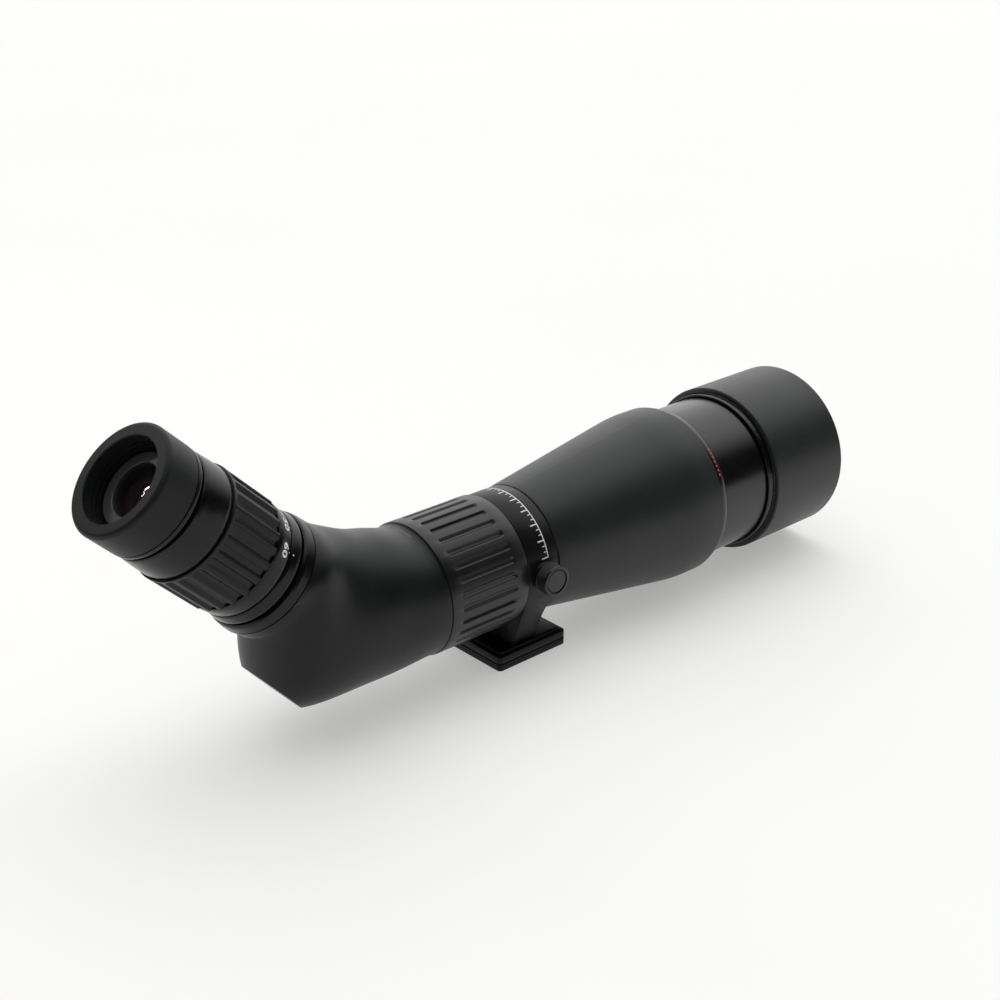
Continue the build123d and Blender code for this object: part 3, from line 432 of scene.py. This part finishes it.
def arc_patch(skin, start, end, first, last, rise=MARK_RISE):
    """A thin raised mark on a surface, between two stations and two angles."""
    reach = (skin.point(start, first, 0) - skin.spindle.point(start, 0.0, first)).length
    steps = max(2, int(abs(last - first) * reach / MARK_FACET))
    vertices = []
    for angle in stretch(first, last, steps):
        for station, height in ((start, -rise), (start, rise), (end, rise), (end, -rise)):
            vertices.append(skin.point(station, angle, height))
    faces = [(3, 2, 1, 0)]
    for step in range(steps):
        base = 4 * step
        for index in range(4):
            after = (index + 1) % 4
            faces.append((base + index, base + after, base + 4 + after, base + 4 + index))
    end_base = 4 * steps
    faces.append((end_base, end_base + 1, end_base + 2, end_base + 3))
    return vertices, faces


def joined(parts):
    """Several pieces' vertices and faces as one."""
    vertices, faces = [], []
    for more_vertices, more_faces in parts:
        offset = len(vertices)
        vertices.extend(more_vertices)
        faces.extend(tuple(index + offset for index in face) for face in more_faces)
    return vertices, faces


# ------------------------------------------------------------------ ribbed rings
RIB_ROUND = 0.5 * MM
RIB_SHOULDER = RIB_ROUND * 0.3
RIB_STEPS = 8
STEPS_PER_GROOVE = 24
SAME_POINT = 0.01 * MM
GLUE_LINE = 0.02 * MM


def ribbed_ring(name, spindle, node, material, inner, grooves, ends, sizes, phase, body):
    """A rubber ring with grooves between rounded ribs.

    ends are the stations of the grooves' two ends, each with the length of its run-out.
    sizes are a groove's width, the width of its rounded side, and its depth."""
    low, high, outer = spindle.span(node)
    (start, rear_run), (end, front_run) = ends
    width, flank, depth = sizes
    pitch = 2 * math.pi / grooves

    def shape(station, radius, angle):
        if radius < outer - RIB_ROUND:
            return radius
        offset = (angle - phase + pitch / 2) % pitch - pitch / 2
        across = trough(offset * outer, width / 2, flank)
        along = ease((station - start) / rear_run) * ease((end - station) / front_run)
        return radius - depth * across * along

    first, last = low + RIB_ROUND, high - RIB_ROUND
    bends = [max(start, first), start + rear_run, end - front_run, min(end, last)]
    outline = [(low, inner), (low, outer - RIB_ROUND)]
    outline += [(low + RIB_SHOULDER, outer - RIB_SHOULDER), (first, outer)]
    for near, far in zip(bends, bends[1:]):
        outline += [(station, outer) for station in stretch(near, far, RIB_STEPS)]
    outline += [(last, outer), (high - RIB_SHOULDER, outer - RIB_SHOULDER)]
    outline += [(high, outer - RIB_ROUND), (high, inner)]
    spaced = [outline[0]]
    for station, radius in outline[1:]:
        if abs(station - spaced[-1][0]) + abs(radius - spaced[-1][1]) > SAME_POINT:
            spaced.append((station, radius))
    vertices, faces = lathe(spindle, spaced, grooves * STEPS_PER_GROOVE, shape)
    piece(name, vertices, faces, material, body, [node])


FOCUS_LOW, FOCUS_HIGH = MAIN.span("focus_ring")[:2]
ribbed_ring(
    "focus_grip",
    MAIN,
    "focus_ring",
    RIB_RUBBER,
    inner=MAIN.span("focus_core")[2] + GLUE_LINE,
    grooves=30,
    ends=((FOCUS_LOW + 6.5 * MM, 0.9 * MM), (FOCUS_HIGH - 7.0 * MM, 2.6 * MM)),
    sizes=(2.5 * MM, 1.3 * MM, 1.2 * MM),
    phase=math.radians(5.9),
    body="focus",
)
ZOOM_LOW, ZOOM_HIGH = EYE.span("zoom_ring")[:2]
ribbed_ring(
    "zoom_grip",
    EYE,
    "zoom_ring",
    SHADED_ZOOM_RUBBER,
    inner=EYE.span("zoom_core")[2] + GLUE_LINE,
    grooves=24,
    ends=((ZOOM_LOW - 1.0 * MM, 0.8 * MM), (ZOOM_HIGH - 0.9 * MM, 2.2 * MM)),
    sizes=(4.0 * MM, 2.5 * MM, 1.6 * MM),
    phase=math.radians(2.3),
    body="zoom",
)


# ------------------------------------------------------------------ lock knob
def knurled_knob():
    """The lock knob, with a diamond knurl round its side and a dished face."""
    low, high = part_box("lock_knob")
    spindle = Spindle((0, 0, AXIS_HEIGHT), (1, 0, 0))
    spindle.side = Vector((0, 1, 0))
    spindle.top = Vector((0, 0, 1))
    radius = (high.z - low.z) / 2
    back, face = low.x, high.x
    bore = 2.6 * MM
    bore_end = face - 3.0 * MM
    dish = 0.7 * MM
    dish_radius = radius - 1.7 * MM
    centre = 0.02 * MM
    knurls = 44
    knurl_depth = 0.32 * MM
    knurl_sharpness = 1.4
    knurl_start, knurl_end = back + 1.2 * MM, face - 1.1 * MM

    def shape(station, size, angle):
        if size < radius - 0.01 * MM or not knurl_start < station < knurl_end:
            return size
        lead = (station - knurl_start) / radius
        one = abs(((angle + lead) * knurls / math.pi / 2) % 1 - 0.5) * 2
        two = abs(((angle - lead) * knurls / math.pi / 2) % 1 - 0.5) * 2
        return size - knurl_depth * (1 - min(one, two)) ** knurl_sharpness

    outline = [
        (bore_end, centre),
        (bore_end, bore),
        (back, bore),
        (back, radius - 1.2 * MM),
        (back + 0.6 * MM, radius - 0.5 * MM),
        (back + 0.6 * MM, radius - 0.15 * MM),
        (back + 0.8 * MM, radius),
    ]
    outline += [(s, radius) for s in stretch(knurl_start - 0.05 * MM, knurl_end + 0.05 * MM, 34)]
    outline += [
        (face - 0.7 * MM, radius),
        (face - 0.2 * MM, radius - 0.2 * MM),
        (face, radius - 0.7 * MM),
        (face, dish_radius + 0.15 * MM),
        (face - 0.15 * MM, dish_radius),
        (face - dish, dish_radius),
        (face - dish, dish_radius - 0.4 * MM),
        (face - dish + 0.35 * MM, dish_radius - 0.75 * MM),
        (face - dish + 0.45 * MM, centre),
    ]
    vertices, faces = lathe(spindle, outline, knurls * 8, shape)
    piece("knurled_knob", vertices, faces, SATIN, "lock", ["lock_knob"])


knurled_knob()


# ------------------------------------------------------------------ markings
INK_RISE = 0.03 * MM
FIGURE_STRETCH = 1.55  # the figures are this much wider than the font's
FIGURE_BOLDNESS = 0.03
FIGURE_SPACING = 1.05
FIGURE_GRID = 0.12
FIGURE_ROUNDS = 3


def wrapped_text(name, text, skin, station, angle, size, material, body):
    """Raised figures on a round surface, their tops towards the axis's origin."""
    curve = bpy.data.curves.new(name, "FONT")
    curve.body = text
    curve.size = size
    curve.align_x = "CENTER"
    curve.align_y = "CENTER"
    curve.offset = size * FIGURE_BOLDNESS
    curve.space_character = FIGURE_SPACING
    curve.resolution_u = 4
    holder = bpy.data.objects.new(name, curve)
    flat = bpy.data.meshes.new_from_object(holder)
    bpy.data.objects.remove(holder)
    work = bmesh.new()
    work.from_mesh(flat)
    bmesh.ops.triangulate(work, faces=work.faces)
    for _ in range(FIGURE_ROUNDS):
        long_edges = [edge for edge in work.edges if edge.calc_length() > size * FIGURE_GRID]
        bmesh.ops.subdivide_edges(work, edges=long_edges, cuts=1)
        bmesh.ops.triangulate(work, faces=work.faces)
    reach = (skin.point(station, angle, 0) - skin.spindle.point(station, 0.0, angle)).length
    grown = bmesh.ops.extrude_face_region(work, geom=work.faces[:])
    raised = {v for v in grown["geom"] if isinstance(v, bmesh.types.BMVert)}
    for vertex in work.verts:
        x, y = vertex.co.x * FIGURE_STRETCH, vertex.co.y
        rise = INK_RISE if vertex in raised else -INK_RISE
        vertex.co = skin.point(station - y, angle + x / reach, rise)
    mesh = bpy.data.meshes.new(name)
    bmesh.ops.recalc_face_normals(work, faces=work.faces)
    work.to_mesh(mesh)
    work.free()
    mesh.materials.append(material)
    made = bpy.data.objects.new(name, mesh)
    bpy.context.scene.collection.objects.link(made)
    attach(made, body)


FIGURE_HEIGHT = 4.6 * MM
FIGURE_BAND = 3.5 * MM
FIGURES = {"60": 62, "50": 34, "40": 3, "30": -32, "20": -78}


def zoom_scale():
    """Magnification figures round the scale ring, and a fine tick for each."""
    low = EYE.span("scale_ring")[0]
    skin = Skin(EYE, "scale_ring")
    band = low + FIGURE_BAND
    for figure, degrees in FIGURES.items():
        wrapped_text(
            "figure_" + figure, figure, skin, band, math.radians(degrees), FIGURE_HEIGHT,
            WHITE_INK, "zoom",
        )
    half = math.radians(0.35)
    tick_start, tick_end = low + 0.25 * MM, low + 0.75 * MM
    ticks = []
    for degrees in FIGURES.values():
        middle = math.radians(degrees)
        ticks.append(arc_patch(skin, tick_start, tick_end, middle - half, middle + half))
    vertices, faces = joined(ticks)
    piece("scale_ticks", vertices, faces, WHITE_INK, "zoom")


def index_mark():
    """The fixed index mark that the zoom figures are read against."""
    high = EYE.span("index_ring")[1]
    skin = Skin(EYE, "index_ring")
    middle = math.radians(FIGURES["60"])
    half = math.radians(0.8)
    dot_start, dot_end = high - 2.2 * MM, high - 1.6 * MM
    vertices, faces = arc_patch(skin, dot_start, dot_end, middle - half, middle + half)
    piece("index_dot", vertices, faces, WHITE_INK, "scope")


def collar_scale():
    """Plain angle ticks on the collar along a base line, every third one longer."""
    high = MAIN.span("collar_liner")[1]
    skin = Skin(MAIN, "collar")
    base = high - 6.4 * MM
    thin = math.radians(0.55)
    reach = 75
    end = math.radians(reach) + thin
    parts = [arc_patch(skin, base - 0.6 * MM, base, -end, end)]
    for degrees in range(-reach, reach + 1, 5):
        middle = math.radians(degrees)
        major = degrees % 15 == 0
        length = 4.6 * MM if major else 2.4 * MM
        wide = thin if major else thin * 0.7
        parts.append(arc_patch(skin, base, base - length, middle - wide, middle + wide))
    vertices, faces = joined(parts)
    piece("collar_ticks", vertices, faces, WHITE_INK, "mount")


def focus_arrow():
    """An embossed double arrow on the prism housing, for the focus ring's two ways."""
    skin = Skin(MAIN, "prism_housing")
    station = MAIN.span("focus_ring")[0] - 4.2 * MM
    span = math.radians(13)
    barb = math.radians(2.4)
    line = 0.45 * MM
    parts = [arc_patch(skin, station - line, station + line, -span, span)]
    for side in (-1, 1):
        for step in range(4):
            inner = side * (span - barb * step / 4)
            width = line + 0.35 * MM * step
            parts.append(
                arc_patch(skin, station - width, station + width, inner, inner + side * barb / 3)
            )
    vertices, faces = joined(parts)
    piece("focus_arrow", vertices, faces, GREY_INK, "scope")


def trim_marks():
    """A short row of coloured dashes round the trim ring."""
    low, high = MAIN.span("trim_ring")[:2]
    skin = Skin(MAIN, "trim_ring")
    middle = (low + high) / 2 - 0.2 * MM
    half = 0.5 * MM
    dash = math.radians(1.7)
    parts = []
    for index in range(7):
        start = math.radians(42.5 + 3.1 * index)
        parts.append(arc_patch(skin, middle - half, middle + half, start, start + dash))
    vertices, faces = joined(parts)
    piece("trim_marks", vertices, faces, ORANGE_INK, "scope")


zoom_scale()
index_mark()
collar_scale()
focus_arrow()
trim_marks()


# ------------------------------------------------------------------ stage, light and camera
FLOOR_REACH = 6.0
FLOOR_GLOW = 0.36
WHITE = (1.0, 1.0, 1.0)
BRIGHT_SIDE = (-0.45, 0.5, 0.74)
SKY_EDGE, SKY_FULL = 0.42, 0.85  # cosines of the angles from the bright side
SKY_DIM, SKY_BRIGHT = 0.03, 1.6
BACKDROP = 0.96
FILL_STRENGTH = 0.95
CAMERA_PLACE = (0.57907, -0.51074, 0.43176)
CAMERA_HEADING = 48.57
CAMERA_TILT = 65.7
CAMERA_ROLL = -0.3
CAMERA_LENS = 58.45


def stage():
    """A pale floor, lit from above and glowing a little as on a light table."""
    size = FLOOR_REACH
    mesh = bpy.data.meshes.new("floor")
    corners = [(-size, -size, 0), (size, -size, 0), (size, size, 0), (-size, size, 0)]
    mesh.from_pydata(corners, [], [(0, 1, 2, 3)])
    floor = bpy.data.objects.new("floor", mesh)
    bpy.context.scene.collection.objects.link(floor)
    material, nodes, links, surface = shader("pale_floor", (0.6, 0.6, 0.595), 0.8, 0.0, 0.2)
    mottle = noise(nodes, links, 3.0)
    tone = ramp(nodes, links, mottle.outputs["Fac"], (0.595, 0.594, 0.588), (0.605, 0.604, 0.6))
    links.new(tone.outputs["Color"], surface.inputs["Base Color"])
    surface.inputs["Emission Color"].default_value = (1.0, 1.0, 0.985, 1)
    surface.inputs["Emission Strength"].default_value = FLOOR_GLOW
    mesh.materials.append(material)


def strip(name, location, width, height, colour, power):
    """A narrow lamp whose glint shows in the eye lens."""
    lamp = bpy.data.lights.new(name, "AREA")
    lamp.shape = "RECTANGLE"
    lamp.size = width
    lamp.size_y = height
    lamp.color = colour
    lamp.energy = power
    holder = bpy.data.objects.new(name, lamp)
    bpy.context.scene.collection.objects.link(holder)
    holder.location = location
    aim = EYE.point(EYE.span("eyecup")[1], 0.0, 0.0) - Vector(location)
    holder.rotation_euler = aim.to_track_quat("-Z", "Y").to_euler()


def lighting():
    """A white studio, bright above and beyond the object and dim on the camera's side."""
    world = bpy.data.worlds.new("studio")
    bpy.context.scene.world = world
    world.use_nodes = True
    nodes = world.node_tree.nodes
    links = world.node_tree.links
    coordinates = nodes.new("ShaderNodeTexCoord")
    toward = nodes.new("ShaderNodeVectorMath")
    toward.operation = "DOT_PRODUCT"
    toward.inputs[1].default_value = Vector(BRIGHT_SIDE).normalized()
    links.new(coordinates.outputs["Generated"], toward.inputs[0])
    fall = nodes.new("ShaderNodeMapRange")
    fall.interpolation_type = "SMOOTHSTEP"
    fall.inputs["From Min"].default_value = SKY_EDGE
    fall.inputs["From Max"].default_value = SKY_FULL
    fall.inputs["To Min"].default_value = SKY_DIM
    fall.inputs["To Max"].default_value = SKY_BRIGHT
    links.new(toward.outputs["Value"], fall.inputs["Value"])
    path = nodes.new("ShaderNodeLightPath")
    seen = nodes.new("ShaderNodeMix")
    seen.data_type = "FLOAT"
    seen.inputs[3].default_value = BACKDROP
    links.new(path.outputs["Is Camera Ray"], seen.inputs[0])
    links.new(fall.outputs["Result"], seen.inputs[2])
    links.new(seen.outputs[0], nodes["Background"].inputs["Strength"])
    nodes["Background"].inputs["Color"].default_value = (*WHITE, 1)
    fill = bpy.data.lights.new("sky_fill", "SUN")
    fill.energy = FILL_STRENGTH
    fill.angle = math.radians(100)
    holder = bpy.data.objects.new("sky_fill", fill)
    bpy.context.scene.collection.objects.link(holder)
    holder.rotation_euler = (math.radians(12), math.radians(10), 0)
    holder.visible_glossy = False
    strip("lens_glint", (-0.74, -0.52, 0.60), 0.012, 0.16, WHITE, 0.45)
    strip("warm_glint", (-0.62, -0.74, 0.42), 0.010, 0.14, (1.0, 0.25, 0.18), 0.12)
    bpy.context.scene.view_settings.view_transform = "Standard"


def camera():
    """The camera, from behind the scope's right side and above it."""
    data = bpy.data.cameras.new("camera")
    data.lens = CAMERA_LENS
    data.sensor_width = 36.0
    data.clip_end = 50.0
    holder = bpy.data.objects.new("camera", data)
    bpy.context.scene.collection.objects.link(holder)
    holder.location = CAMERA_PLACE
    heading = Matrix.Rotation(math.radians(CAMERA_HEADING), 4, "Z")
    tilt = Matrix.Rotation(math.radians(CAMERA_TILT), 4, "X")
    roll = Matrix.Rotation(math.radians(CAMERA_ROLL), 4, "Z")
    holder.rotation_euler = (heading @ tilt @ roll).to_euler()
    bpy.context.scene.camera = holder


stage()
lighting()
camera()
